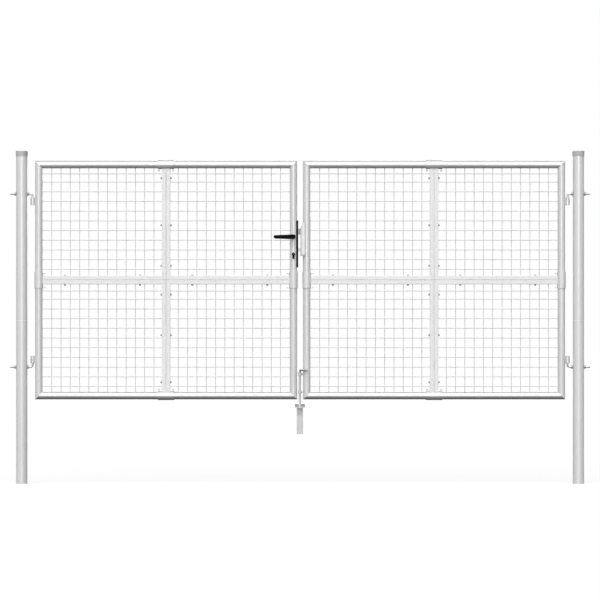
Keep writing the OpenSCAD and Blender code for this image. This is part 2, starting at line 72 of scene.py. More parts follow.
# Square bars, bolted back to back
BAR_W = 0.022
BAR_IN = 0.0112              # bar axis from the leaf's middle lines
BAR_FACE = BAR_IN + BAR_W / 2
BAR_BOLT_RISES = (0.076, 0.290, 0.539)     # bolts above and below the leaf's middle
BAR_BOLT_RUNS = (0.138, 0.534)             # bolts to its left and right
BAR_WASHER_R = 0.0065
BAR_WASHER_T = 0.0012
BAR_BOLT_AF = 0.011
BAR_BOLT_HEAD_H = 0.0065
BAR_BOLT_NUT_H = 0.0055
BAR_BOLT_END = 0.0085        # thread beyond the bars

# Bolts of the joining sleeves
SLEEVE_BOLT_RUN = 0.038      # bolt from the middle of its sleeve
SPACER_L = 0.0055
SPACER_R = 0.0040
SPACER_SINK = 0.0006         # how far it goes into the round sleeve
SLEEVE_NUT_AF = 0.010
SLEEVE_NUT_H = 0.0065
SLEEVE_BOLT_END = 0.0075     # thread beyond the spacer

# Thread of the bars' and the sleeves' bolts
SMALL_BOLT_R = 0.003
SMALL_THREAD_PITCH = 0.001
SMALL_THREAD_DEPTH = 0.0005

# Hinges
HOOK_R = 0.006
HOOK_BEND_R = 0.015
HOOK_BEND_STEPS = 12
HOOK_BEND_START = 0.97       # share of its radius with which the bend starts
HINGE_OUT = 0.028            # pin axis from the post's face
UPPER_HOOK_IN = 0.174        # bolt below the leaf's top edge
LOWER_HOOK_IN = 0.172        # bolt above the leaf's lower edge
EYE_L = 0.039
PIN_SHORT = 0.004            # the pin stops inside the eye
PIN_BEVEL_R = 0.0012
PIN_BEVEL_L = 0.0015
THREAD_PITCH = 0.00175
THREAD_DEPTH = 0.0009
THREAD_LAP = 0.0005          # thread that runs on into the bend
WASHER_R = 0.012
WASHER_T = 0.002
NUT_AF = 0.018
NUT_H = 0.008

# Drop rod, ground socket and posts
GUIDE_R = 0.0085
GUIDE_ARM_R = 0.004
GUIDE_RISES = (0.039, 0.133) # guides above the leaf's lower edge
SOCKET_W = 0.032
SOCKET_CORNER = 0.003        # what its bead cuts off each corner
POST_JOINT_Z = 0.861
RING_HALF_H = 0.0010
RING_INNER = 0.0014          # inside the post's face
RING_EDGE = 0.0002           # inside the post's face
RING_PROUD = 0.0004

# Weld beads
BEAD_RIPPLE = 0.0022
BEAD_END = 0.001             # how far short of an edge a bead stops
CORNER_BEAD_R = 0.0013
MITRE_BEAD_R = 0.0008
BAR_END_BEAD_R = 0.0016
EYE_BEAD_R = 0.0018
EYE_BEAD_Y = 0.0046
EYE_BEAD_OUT = 0.0002        # bead's middle off the stile
EYE_BEAD_END = 0.003         # how far short of the eye's ends it stops
GUIDE_BEAD_R = 0.0010
GUIDE_BEAD_GROW = 0.0005     # bead's middle outside the arm's face
ARM_TO_STILE = 0.0006        # bead's middle off the stile
ARM_TO_GUIDE = 0.0003        # bead's middle off the guide
KEEP_BEAD_R = 0.0017
KEEP_BEAD_L = 0.022
KEEP_BEAD_Y = 0.0193
KEEP_BEAD_OUT = 0.0004       # bead's middle off the keep
KEEP_BEAD_FEET = (0.08, 0.44, 0.80)    # shares of the keep's height
SOCKET_BEAD_R = 0.0017
SOCKET_BEAD_DROP = 0.0006    # bead's middle under the collar

# Lock
CYLINDER_R = 0.009
CYLINDER_LEG_R = 0.00525
CYLINDER_LEG_L = 0.0255
CYLINDER_BEVEL = 0.0004
HEAD_STEPS = 32
FOOT_STEPS = 16
PLUG_R = 0.0046
PLUG_RISE = 0.0007
PLUG_BEVEL = 0.0004
DISH_R = 0.0040
DISH_DEPTH = 0.0002
KEYWAY_HALF_W = 0.0010
KEYWAY_HALF_H = 0.0034
KEYWAY_STEP = 0.0004
KEYWAY_DEPTH = 0.003
PLATE_SCREW_IN = 0.011       # screw from the faceplate's end
PLATE_SCREW = (0.0040, 0.0006, 0.0030)     # radius, rise and width of its socket
SEAL_R = 0.0013
SEAL_OUT = 0.0008            # seal's middle off the faceplate
NECK_R = 0.010
NECK_SCREW_Y = 0.030
NECK_SCREW = (0.0028, 0.0003, 0.0025)      # the same


# ---------- mesh building ----------

def frame_across(direction):
    """Two unit vectors square to a direction and to each other."""
    d = Vector(direction).normalized()
    helper = Vector((0, 0, 1)) if abs(d.z) < 0.9 else Vector((1, 0, 0))
    a = d.cross(helper).normalized()
    return a, d.cross(a)


def circle_points(centre, a, b, radii):
    """One point for each radius, evenly turned about a centre."""
    count = len(radii)
    points = []
    for i, r in enumerate(radii):
        t = 2 * math.pi * i / count
        points.append(centre + (a * math.cos(t) + b * math.sin(t)) * r)
    return points


def add_rings(bm, rings, loop=False):
    """Skins a list of rings of points. A ring of one point closes the skin there."""
    rows = [[bm.verts.new(p) for p in ring] for ring in rings]
    pairs = list(zip(rows, rows[1:]))
    if loop:
        pairs.append((rows[-1], rows[0]))
    for lower, upper in pairs:
        count = max(len(lower), len(upper))
        for i in range(count):
            j = (i + 1) % count
            corners = [lower[i % len(lower)], lower[j % len(lower)],
                       upper[j % len(upper)], upper[i % len(upper)]]
            unique = list(dict.fromkeys(corners))
            if len(unique) > 2:
                bm.faces.new(unique)


def add_lathe(bm, profile, origin, axis, sides):
    """Turns a closed outline of (radius, height) points about an axis."""
    d = Vector(axis).normalized()
    a, b = frame_across(d)
    rings = [circle_points(Vector(origin) + d * h, a, b, [r] * sides) for r, h in profile]
    add_rings(bm, rings, loop=True)


def add_sweep(bm, path, radii, sides=12, loop=False):
    """A round skin along a path, with one radius for each point."""
    path = [Vector(p) for p in path]
    last = len(path) - 1
    rings = []
    a = None
    for i, p in enumerate(path):
        if loop:
            tangent = path[(i + 1) % len(path)] - path[i - 1]
        else:
            tangent = path[min(i + 1, last)] - path[max(i - 1, 0)]
        tangent.normalize()
        if a is None:
            a, b = frame_across(tangent)
        a = (a - tangent * a.dot(tangent)).normalized()
        b = tangent.cross(a)
        rings.append(circle_points(p, a, b, [radii[i]] * sides))
    if not loop:
        rings = [[path[0]], *rings, [path[-1]]]
    add_rings(bm, rings, loop)


def add_rod(bm, start, end, radius, sides=8):
    """A plain round rod with flat ends."""
    add_sweep(bm, [start, end], [radius, radius], sides)


def add_blob(bm, centre, radii, sides=8, rows=4):
    """A small closed lump with its own radius along each axis."""
    rings = []
    for row in range(rows + 1):
        tilt = math.pi * row / rows
        ring = []
        for i in range(sides if 0 < row < rows else 1):
            t = 2 * math.pi * i / sides
            ring.append(Vector(centre) + Vector((
                radii[0] * math.sin(tilt) * math.cos(t),
                radii[1] * math.cos(tilt),
                radii[2] * math.sin(tilt) * math.sin(t))))
        rings.append(ring)
    add_rings(bm, rings)


def hex_radii(across_flats, per_side=6):
    """Radii of a hexagon, with points on its corners and along its sides."""
    radii = []
    for i in range(6 * per_side):
        from_corner = (i % per_side) * math.pi / 3 / per_side
        radii.append(across_flats / 2 / math.cos(math.pi / 6 - from_corner))
    return radii


def add_hexagon(bm, origin, axis, across_flats, height, bore=0.0):
    """A nut, or a bolt's head where bore is 0, with its top corners turned off."""
    d = Vector(axis).normalized()
    a, b = frame_across(d)
    base = Vector(origin)
    radii = hex_radii(across_flats)
    land = 0.94 * across_flats / 2
    end = base + d * height
    outer_low = circle_points(base, a, b, radii)
    outer_high = [p - d * (r - land) * math.tan(math.pi / 6)
                  for p, r in zip(circle_points(end, a, b, radii), radii)]
    top = circle_points(end, a, b, [land] * len(radii))
    if bore:
        lip = bore * 0.12
        rings = [outer_low, outer_high, top,
                 circle_points(end, a, b, [bore + lip] * len(radii)),
                 circle_points(end - d * lip, a, b, [bore] * len(radii)),
                 circle_points(base, a, b, [bore] * len(radii))]
        add_rings(bm, rings, loop=True)
    else:
        add_rings(bm, [[base], outer_low, outer_high, top, [end]])


def add_socket_screw(bm, origin, axis, radius, rise, socket):
    """The flat head of a screw with a hexagon socket, standing a little proud."""
    d = Vector(axis).normalized()
    a, b = frame_across(d)
    base = Vector(origin)
    hexagon = hex_radii(socket, per_side=4)
    count = len(hexagon)
    bevel = radius * 0.12
    depth = d * socket * 0.7
    foot = base - depth * 1.3
    end = base + d * rise
    add_rings(bm, [
        [foot],
        circle_points(foot, a, b, [radius * 0.6] * count),
        circle_points(base, a, b, [radius] * count),
        circle_points(end - d * rise * 0.5, a, b, [radius] * count),
        circle_points(end, a, b, [radius - bevel] * count),
        circle_points(end, a, b, hexagon),
        circle_points(end - depth, a, b, hexagon),
        [end - depth * 1.15]])


def add_washer(bm, origin, axis, outer, inner, thickness):
    """A flat ring with its outer edges broken, or a spacer where it is long."""
    edge = thickness * 0.25
    profile = [(inner, 0), (outer - edge, 0), (outer, edge), (outer, thickness - edge),
               (outer - edge, thickness), (inner, thickness)]
    add_lathe(bm, profile, origin, axis, sides=36)


def add_thread(bm, start, end, radius, pitch, depth, sides=16, per_pitch=6):
    """A bolt's shaft with a real helical V thread and bevelled ends."""
    start, end = Vector(start), Vector(end)
    length = (end - start).length
    d = (end - start).normalized()
    a, b = frame_across(d)
    rows = int(length / pitch * per_pitch)
    bevel = 2 * depth
    rings = [[start]]
    for row in range(rows + 1):
        h = length * row / rows
        edge = min(h, length - h)
        limit = radius - max(0.0, bevel - edge) * 0.6
        radii = []
        for i in range(sides):
            phase = (h / pitch - i / sides) % 1.0
            radii.append(min(limit, radius - depth * (1 - abs(2 * phase - 1))))
        rings.append(circle_points(start + d * h, a, b, radii))
    rings.append([end])
    add_rings(bm, rings)


def add_small_thread(bm, start, end):
    """The threaded end of one of the bars' or the sleeves' bolts."""
    add_thread(bm, start, end, SMALL_BOLT_R, SMALL_THREAD_PITCH, SMALL_THREAD_DEPTH,
               sides=12, per_pitch=4)


def add_bead(bm, path, radius, loop=False):
    """A weld bead: a low tube along a path, with the ripples of the torch."""
    path = [Vector(p) for p in path]
    spots = [path[0]]
    ends = path[1:] + ([path[0]] if loop else [])
    for p in ends:
        steps = max(1, round((p - spots[-1]).length / (BEAD_RIPPLE / 4)))
        begin = spots[-1].copy()
        spots += [begin.lerp(p, (k + 1) / steps) for k in range(steps)]
    if loop:
        spots.pop()
    travelled = 0.0
    radii = []
    for i, p in enumerate(spots):
        travelled += (p - spots[i - 1]).length if i else 0.0
        wave = abs(math.sin(math.pi * travelled / BEAD_RIPPLE))
        lump = noise.noise(p * 220)
        radii.append(radius * (0.82 + 0.18 * wave + 0.10 * lump))
    add_sweep(bm, spots, radii, sides=8, loop=loop)


def add_round_bead(bm, centre, across, up, radius, steps=40):
    """A bead round an ellipse, whose half axes are the vectors across and up."""
    path = []
    for i in range(steps):
        t = 2 * math.pi * i / steps
        path.append(Vector(centre) + across * math.cos(t) + up * math.sin(t))
    add_bead(bm, path, radius, loop=True)


def finish_piece(bm, name, body, material, sharp_deg=40):
    """Makes a piece of a built mesh, shades it smooth up to an angle, and rides it."""
    bmesh.ops.recalc_face_normals(bm, faces=bm.faces)
    for face in bm.faces:
        face.smooth = True
    limit = math.radians(sharp_deg)
    for edge in bm.edges:
        edge.smooth = edge.calc_face_angle(0.0) < limit
    mesh = bpy.data.meshes.new(name)
    bm.to_mesh(mesh)
    bm.free()
    piece = bpy.data.objects.new(name, mesh)
    bpy.context.scene.collection.objects.link(piece)
    mesh.materials.append(material)
    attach(piece, body)
    return piece


# ---------- materials ----------
# Every colour here is a grey, written as one number.

def rgba(grey):
    """A grey as the colour that a socket takes."""
    return (grey, grey, grey, 1)


def shade(grey, factor):
    """A darker or lighter grey, at most white."""
    return min(1.0, grey * factor)


def start_material(name, roughness, metallic=0.0, specular=0.5):
    """A Principled material. Returns it with its nodes, links, shader and place."""
    material = bpy.data.materials.new(name)
    material.use_nodes = True
    nodes, links = material.node_tree.nodes, material.node_tree.links
    shader = nodes["Principled BSDF"]
    shader.inputs["Roughness"].default_value = roughness
    shader.inputs["Metallic"].default_value = metallic
    shader.inputs["Specular IOR Level"].default_value = specular
    place = nodes.new("ShaderNodeTexCoord").outputs["Object"]
    return material, nodes, links, shader, place


def add_noise(nodes, links, place, scale, detail):
    """Noise of a given number of waves to the metre."""
    node = nodes.new("ShaderNodeTexNoise")
    node.inputs["Scale"].default_value = scale
    node.inputs["Detail"].default_value = detail
    node.inputs["Roughness"].default_value = 0.55
    links.new(place, node.inputs["Vector"])
    return node.outputs["Fac"]


def add_range(nodes, links, value, low, high, to_low, to_high):
    """Maps low..high onto to_low..to_high, and stops there."""
    node = nodes.new("ShaderNodeMapRange")
    for socket, number in zip(("From Min", "From Max", "To Min", "To Max"),
                              (low, high, to_low, to_high)):
        node.inputs[socket].default_value = number
    links.new(value, node.inputs["Value"])
    return node.outputs["Result"]


def add_math(nodes, links, operation, first, second):
    """A Math node. Each input is a number or another node's output."""
    node = nodes.new("ShaderNodeMath")
    node.operation = operation
    for socket, value in zip(node.inputs, (first, second)):
        if isinstance(value, (int, float)):
            socket.default_value = value
        else:
            links.new(value, socket)
    return node.outputs["Value"]


def add_blend(nodes, links, *shares):
    """The sum of (value, weight) pairs."""
    total = None
    for value, weight in shares:
        part = add_math(nodes, links, "MULTIPLY", value, weight)
        total = part if total is None else add_math(nodes, links, "ADD", total, part)
    return total


def add_colours(nodes, links, value, stops):
    """A colour ramp from (place, grey) stops."""
    node = nodes.new("ShaderNodeValToRGB")
    ramp = node.color_ramp
    while len(ramp.elements) < len(stops):
        ramp.elements.new(0.5)
    for element, (spot, grey) in zip(ramp.elements, stops):
        element.position = spot
        element.color = rgba(grey)
    links.new(value, node.inputs["Fac"])
    return node.outputs["Color"]


def add_tones(nodes, links, place, colour, tones):
    """Multiplies a colour along X, Y or Z: tones gives (axis, stops) pairs.

    The stops are (place in metres, tone), in rising order. Each tone here is painted
    light or shade: a highlight, or shade beside or under a part.
    """
    for axis, stops in tones:
        parts = nodes.new("ShaderNodeSeparateXYZ")
        links.new(place, parts.inputs["Vector"])
        low, high = stops[0][0], stops[-1][0]
        along = add_range(nodes, links, parts.outputs[axis], low, high, 0, 1)
        ramp = add_colours(nodes, links, along, [
            ((spot - low) / (high - low), tone) for spot, tone in stops])
        both = nodes.new("ShaderNodeVectorMath")
        both.operation = "MULTIPLY"
        links.new(colour, both.inputs[0])
        links.new(ramp, both.inputs[1])
        colour = both.outputs["Vector"]
    return colour


def add_bump(nodes, links, shader, height, strength, distance=0.0002):
    """Fine relief. distance is its depth in metres."""
    node = nodes.new("ShaderNodeBump")
    node.inputs["Strength"].default_value = strength
    node.inputs["Distance"].default_value = distance
    links.new(height, node.inputs["Height"])
    links.new(node.outputs["Normal"], shader.inputs["Normal"])


# Ranges of a surface normal's Z over which shade is painted into the colour.
UNDERSIDE = (-0.50, 0.05)
STRAIGHT_DOWN = (-0.95, -0.60)
STRAIGHT_UP = (0.62, 0.92)


def add_painted_shade(nodes, links, colour, under, lowest, over):
    """Painted shade: darkens a colour on faces that look down or straight up."""
    normal = nodes.new("ShaderNodeSeparateXYZ")
    geometry = nodes.new("ShaderNodeNewGeometry")
    links.new(geometry.outputs["Normal"], normal.inputs["Vector"])
    up = normal.outputs["Z"]
    below = add_range(nodes, links, up, *UNDERSIDE, under, 1)
    beneath = add_range(nodes, links, up, *STRAIGHT_DOWN, lowest, 1)
    above = add_range(nodes, links, up, *STRAIGHT_UP, 1, over)
    left = add_math(nodes, links, "MULTIPLY", below,
                    add_math(nodes, links, "MULTIPLY", beneath, above))
    shaded_colour = nodes.new("ShaderNodeVectorMath")
    shaded_colour.operation = "SCALE"
    links.new(colour, shaded_colour.inputs[0])
    links.new(left, shaded_colour.inputs["Scale"])
    return shaded_colour.outputs["Vector"]


def zinc(name, grey, crystal, roughness=0.32, metallic=0.15, specular=0.1, contrast=0.6,
         under=0.8, lowest=1.0, over=1.0, tones=()):
    """Galvanised steel: zinc crystals of a given size, slow patches and fine grain.

    under and over are what the painted shade leaves of the colour on undersides and on tops,
    and lowest is what it leaves of that where an underside looks straight down.
    """
    material, nodes, links, shader, place = start_material(name, roughness, metallic,
                                                           specular)
    crystals = nodes.new("ShaderNodeTexVoronoi")
    crystals.inputs["Scale"].default_value = 1 / crystal
    warp = add_noise(nodes, links, place, scale=0.6 / crystal, detail=2)
    shifted = nodes.new("ShaderNodeVectorMath")
    shifted.operation = "MULTIPLY_ADD"
    links.new(warp, shifted.inputs[0])
    shifted.inputs[1].default_value = (crystal, crystal, crystal)
    links.new(place, shifted.inputs[2])
    links.new(shifted.outputs["Vector"], crystals.inputs["Vector"])
    tint = nodes.new("ShaderNodeSeparateColor")
    links.new(crystals.outputs["Color"], tint.inputs["Color"])
    patches = add_noise(nodes, links, place, scale=5, detail=3)
    grain = add_noise(nodes, links, place, scale=900, detail=2)
    mixed = add_blend(nodes, links, (tint.outputs["Red"], 0.4), (patches, 0.6), (grain, 0.2))
    colour = add_colours(nodes, links, mixed, [
        (0.30, shade(grey, 1 - 0.09 * contrast)),
        (0.55, grey),
        (0.80, shade(grey, 1 + 0.06 * contrast))])
    colour = add_tones(nodes, links, place, colour, tones)
    # Painted shade on undersides and tops.
    links.new(add_painted_shade(nodes, links, colour, under, lowest, over),
              shader.inputs["Base Color"])
    links.new(add_range(nodes, links, tint.outputs["Green"], 0, 1,
                        roughness - 0.01, roughness + 0.01), shader.inputs["Roughness"])
    height = add_math(nodes, links, "ADD", grain,
                      add_math(nodes, links, "MULTIPLY", tint.outputs["Blue"], 0.3))
    add_bump(nodes, links, shader, height, strength=0.03)
    return material


def coated(name, grey, roughness=0.5, specular=0.03):
    """Black powder coat: orange-peel skin, a little dust, duller and shinier spots."""
    material, nodes, links, shader, place = start_material(name, roughness,
                                                           specular=specular)
    peel = add_noise(nodes, links, place, scale=700, detail=1)
    dust = add_noise(nodes, links, place, scale=45, detail=5)
    links.new(add_colours(nodes, links, dust, [
        (0.35, grey), (0.65, shade(grey, 1.35)), (0.85, shade(grey, 1.9))]),
              shader.inputs["Base Color"])
    links.new(add_range(nodes, links, dust, 0.3, 0.7, roughness - 0.07, roughness + 0.1),
              shader.inputs["Roughness"])
    add_bump(nodes, links, shader, peel, strength=0.25)
    return material


def moulded(name, grey, roughness=0.55):
    """Weathered moulded plastic: fine erosion grain and slow fading."""
    material, nodes, links, shader, place = start_material(name, roughness, specular=0.4)
    fading = add_noise(nodes, links, place, scale=22, detail=4)
    grain = add_noise(nodes, links, place, scale=1500, detail=2)
    links.new(add_colours(nodes, links, fading, [
        (0.30, shade(grey, 0.93)), (0.70, shade(grey, 1.06))]),
              shader.inputs["Base Color"])
    links.new(add_range(nodes, links, grain, 0.3, 0.7, roughness - 0.05, roughness + 0.05),
              shader.inputs["Roughness"])
    add_bump(nodes, links, shader, grain, strength=0.3)
    return material


def brushed(name, grey, stretch, roughness=0.34, metallic=0.15, tones=()):
    """Machined or brushed steel: fine lines along the axis that stretch leaves long."""
    material, nodes, links, shader, place = start_material(name, roughness, metallic)
    turn = nodes.new("ShaderNodeMapping")
    turn.inputs["Scale"].default_value = stretch
    links.new(place, turn.inputs["Vector"])
    lines = add_noise(nodes, links, turn.outputs["Vector"], scale=900, detail=3)
    stains = add_noise(nodes, links, place, scale=30, detail=3)
    mixed = add_blend(nodes, links, (lines, 0.5), (stains, 0.5))
    colour = add_colours(nodes, links, mixed, [
        (0.35, shade(grey, 0.88)), (0.65, shade(grey, 1.05))])
    links.new(add_tones(nodes, links, place, colour, tones), shader.inputs["Base Color"])
    links.new(add_range(nodes, links, lines, 0.3, 0.7, roughness - 0.06, roughness + 0.1),
              shader.inputs["Roughness"])
    add_bump(nodes, links, shader, lines, strength=0.15, distance=0.0001)
    return material


# Painted shade: the lower rail's sleeves darker towards their bottom.
LOWER_SLEEVE_PAINTED_SHADE = (
    ("Z", ((0.4425, 0.50), (0.4495, 0.58), (0.4550, 0.74), (0.4600, 0.84), (0.4650, 1.0))),
)
# Painted shade on the bends of the hook bolts.
HOOK_BEND_PAINTED_SHADE = (
    ("X", ((0.046, 1.0), (0.051, 0.55), (0.058, 0.55), (0.061, 1.0),
           (2.879, 1.0), (2.882, 0.55), (2.889, 0.55), (2.894, 1.0))),
)
# Painted light on the keep: a painted highlight across the middle of its face, painted shade
# at its lip and by the stile, and painted shade along its lower edge.
KEEP_PAINTED_LIGHT = (
    ("X", ((1.4700, 0.92), (1.4755, 0.80), (1.4810, 0.88), (1.4870, 1.06),
           (1.4920, 0.90), (1.4980, 0.76))),
    ("Z", ((1.2030, 0.62), (1.2080, 0.66), (1.2130, 1.0), (1.2500, 1.0))),
)
# Painted highlights: a bright stripe down the collar's front and a bright band at its foot.
COLLAR_PAINTED_HIGHLIGHTS = (
    ("X", ((1.4630, 1.0), (1.4650, 1.7), (1.4675, 1.7), (1.4695, 1.0))),
    ("Z", ((0.400, 2.2), (0.4045, 2.2), (0.4060, 1.0), (0.422, 1.0))),
)
# Painted shadow of the collar on the socket tube below it.
SOCKET_PAINTED_SHADOW = (
    ("Z", ((0.354, 1.0), (0.362, 0.84), (0.371, 0.74), (0.382, 0.73), (0.387, 0.64),
           (0.392, 0.56), (0.397, 0.80))),
)

# Every zinc below gets painted shade on its undersides; under, lowest and over set how much,
# also on tops.
TUBE_SKIN = {"crystal": 0.010, "roughness": 0.25, "metallic": 0.20, "contrast": 0.3,
             "over": 0.5}

# zinc() varies the roughness by 0.01 either way. With 0.27 here the posts render mottled,
# and with 0.26 about as even as in the photo. Bump and contrast make no difference to it.
POST_ZINC = zinc("post_zinc", 0.78, crystal=0.014, roughness=0.26, metallic=0.17,
                 contrast=0.2)
TUBE_ZINC = zinc("tube_zinc", 0.76, under=0.53, **TUBE_SKIN)
# The tubes' zinc with deeper painted shade on its undersides, for the lower frames.
LOW_TUBE_ZINC_PAINTED_SHADE = zinc("low_tube_zinc_painted_shade", 0.76, under=0.36, lowest=0.35, **TUBE_SKIN)
SLEEVE_ZINC = zinc("sleeve_zinc", 0.76, under=0.53, tones=LOWER_SLEEVE_PAINTED_SHADE, **TUBE_SKIN)
BAR_ZINC = zinc("bar_zinc", 0.82, crystal=0.008, roughness=0.52, contrast=0.8, over=0.6)
WIRE_ZINC = zinc("wire_zinc", 0.70, crystal=0.004, contrast=1.4)
SOCKET_ZINC = zinc("socket_zinc", 0.66, crystal=0.012, roughness=0.55, tones=SOCKET_PAINTED_SHADOW)
COLLAR_ZINC = zinc("collar_zinc", 0.43, crystal=0.012, roughness=0.16, metallic=0.6,
                   contrast=0.3, under=1.0, tones=COLLAR_PAINTED_HIGHLIGHTS)
HOOK_ZINC = zinc("hook_zinc", 0.90, crystal=0.005, metallic=0.3, under=0.5,
                 tones=HOOK_BEND_PAINTED_SHADE)
EYE_ZINC = zinc("eye_zinc", 0.58, crystal=0.005, roughness=0.33, metallic=0.6,
                contrast=0.3)
ROD_ZINC = zinc("rod_zinc", 0.56, crystal=0.006, roughness=0.30, metallic=0.5,
                contrast=0.3, under=0.4)
# The nuts' darker grey is painted shade, for the shade they sit in beside the posts.
NUT_ZINC_PAINTED_SHADE = zinc("nut_zinc_painted_shade", 0.52, crystal=0.005)
DARK_PLATED = zinc("dark_plated_bolts", 0.38, crystal=0.005)
PLATED = zinc("plated_bolts", 0.64, crystal=0.005, metallic=0.6)
BRIGHT_PLATED = zinc("bright_plated_spacers", 0.93, crystal=0.005, metallic=0.9)
WELD = zinc("weld_zinc", 0.76, crystal=0.003, roughness=0.5, contrast=1.6)
KEEP_STEEL = brushed("keep_steel", 0.72, stretch=(1, 1, 0.03), tones=KEEP_PAINTED_LIGHT)
BOLT_STEEL = brushed("bolt_steel", 0.72, stretch=(0.03, 1, 1))
PLUG_STEEL = brushed("plug_steel", 0.04, stretch=(1, 0.05, 1), roughness=0.5,
                     metallic=0.0)
BLACK_COAT = coated("black_coat", 0.004)
DULL_BLACK = coated("dull_black", 0.003, roughness=0.7, specular=0.0)
CAP_PLASTIC = moulded("cap_plastic", 0.55)
RING_WHITE = moulded("ring_white", 0.86)

SLOT_MATERIALS = {
    "post_tube": POST_ZINC,
    "frame_tube": TUBE_ZINC,
    "square_bar": BAR_ZINC,
    "mesh_wire": WIRE_ZINC,
    "hardware": PLATED,
    "ground_socket": SOCKET_ZINC,
    "lock_bolt": BOLT_STEEL,
    "keep": KEEP_STEEL,
    "post_cap": CAP_PLASTIC,
    "lever": BLACK_COAT,
    "lock_body": DULL_BLACK,
    "key_cylinder": DULL_BLACK,
}
OWN_MATERIALS = {
    "left_bottom_hinge_frame": LOW_TUBE_ZINC_PAINTED_SHADE,
    "left_bottom_lock_frame": LOW_TUBE_ZINC_PAINTED_SHADE,
    "right_bottom_hinge_frame": LOW_TUBE_ZINC_PAINTED_SHADE,
    "right_bottom_keep_frame": LOW_TUBE_ZINC_PAINTED_SHADE,
    "left_leaf_sleeves": SLEEVE_ZINC,
    "right_leaf_sleeves": SLEEVE_ZINC,
    "left_hinge_eyes": EYE_ZINC,
    "right_hinge_eyes": EYE_ZINC,
    "drop_rod": ROD_ZINC,
    "drop_rod_guides": ROD_ZINC,
    "ground_socket_collar": COLLAR_ZINC,
}


def dress_cad_nodes():
    """Gives each CAD node its own material, or else that of its slot in the record."""
    for part in frame["record"]["subparts"]:
        name = part["node"]
        materials = frame["nodes"][name].data.materials
        materials.clear()
        materials.append(OWN_MATERIALS.get(name, SLOT_MATERIALS[part["material_slot"]]))


# ---------- places ----------

class Leaf:
    """Where one leaf's tubes and bars are, read from the frame.

    inward is the direction along X from its hinges to where the leaves meet.
    """

    def __init__(self, side, meeting_word, inward):
        names = [f"{side}_{row}_{column}_frame" for row in ("top", "bottom")
                 for column in ("hinge", meeting_word)]
        boxes = [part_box(name) for name in names]
        self.side = side
        self.inward = inward
        self.body = f"{side}_leaf"
        self.low = Vector([min(box[0][i] for box in boxes) for i in range(3)])
        self.high = Vector([max(box[1][i] for box in boxes) for i in range(3)])
        self.mid = (self.low + self.high) / 2
        self.tube_r = (self.high.y - self.low.y) / 2
        self.half_w = (self.high.x - self.low.x) / 2
        self.half_h = (self.high.z - self.low.z) / 2
        self.stile_in = self.half_w - self.tube_r
        self.rail_in = self.half_h - self.tube_r
        sleeve_low, sleeve_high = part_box(f"{side}_leaf_sleeves")
        self.sleeve_r = (sleeve_high.y - sleeve_low.y) / 2


LEFT_LEAF = Leaf("left", "lock", inward=1)
RIGHT_LEAF = Leaf("right", "keep", inward=-1)
LEAVES = (LEFT_LEAF, RIGHT_LEAF)
BOTH_WAYS = (-1, 1)
CORNERS = [(x, z) for x in BOTH_WAYS for z in BOTH_WAYS]


# ---------- welded mesh ----------

def level_wire_runs(sz):
    """Distances of a panel's level wires from its rail. sz is 1 in the upper row."""
    past_top_cell = 1 if sz > 0 else WIRES_LEVEL - 1
    runs = []
    for i in range(WIRES_LEVEL):
        run = FIRST_WIRE_Z + i * WIRE_PITCH_Z
        if i >= past_top_cell:
            run += TOP_CELL_H - WIRE_PITCH_Z
        runs.append(run)
    return runs


def add_panel(bm, leaf, sx, sz):
    """One quarter's wires, with a weld nugget where two cross and at each end."""
    edge_x = leaf.mid.x + sx * (leaf.half_w - 2 * leaf.tube_r)
    edge_z = leaf.mid.z + sz * (leaf.half_h - 2 * leaf.tube_r)
    bar_x = leaf.mid.x + sx * BAR_FACE
    bar_z = leaf.mid.z + sz * BAR_FACE
    xs = [edge_x - sx * (FIRST_WIRE_X + i * WIRE_PITCH_X) for i in range(WIRES_UPRIGHT)]
    zs = [edge_z - sz * run for run in level_wire_runs(sz)]
    for x in xs:
        add_rod(bm, (x, WIRE_LAYER, edge_z + sz * WIRE_SINK),
                (x, WIRE_LAYER, bar_z - sz * WIRE_SINK), WIRE_R)
        for z in (edge_z, bar_z):
            add_blob(bm, (x, WIRE_LAYER, z), UPRIGHT_END_NUGGET)
    for z in zs:
        add_rod(bm, (edge_x + sx * WIRE_SINK, -WIRE_LAYER, z),
                (bar_x - sx * WIRE_SINK, -WIRE_LAYER, z), WIRE_R)
        for x in (edge_x, bar_x):
            add_blob(bm, (x, -WIRE_LAYER, z), LEVEL_END_NUGGET)
    for x in xs:
        for z in zs:
            add_blob(bm, (x, 0, z), CROSSING_NUGGET)


def make_wires():
    """The welded mesh of each leaf's lower and upper half."""
    for leaf in LEAVES:
        for row, sz in (("bottom", -1), ("top", 1)):
            bm = bmesh.new()
            for sx in BOTH_WAYS:
                add_panel(bm, leaf, sx, sz)
            piece = finish_piece(bm, f"{leaf.side}_{row}_wires", leaf.body,
                                 WIRE_ZINC, sharp_deg=60)
            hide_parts(f"{leaf.side}_{row}_mesh")


# ---------- hinges ----------

def hook_bend(corner, side, turn):
    """Points of a hook's bend, from the bolt's axis round to the pin's."""
    points = []
    for step in range(HOOK_BEND_STEPS + 1):
        t = math.pi / 2 * step / HOOK_BEND_STEPS
        points.append(Vector((corner.x - side * HOOK_BEND_R * (1 - math.sin(t)), 0,
                              corner.z + turn * HOOK_BEND_R * (1 - math.cos(t)))))
    return points


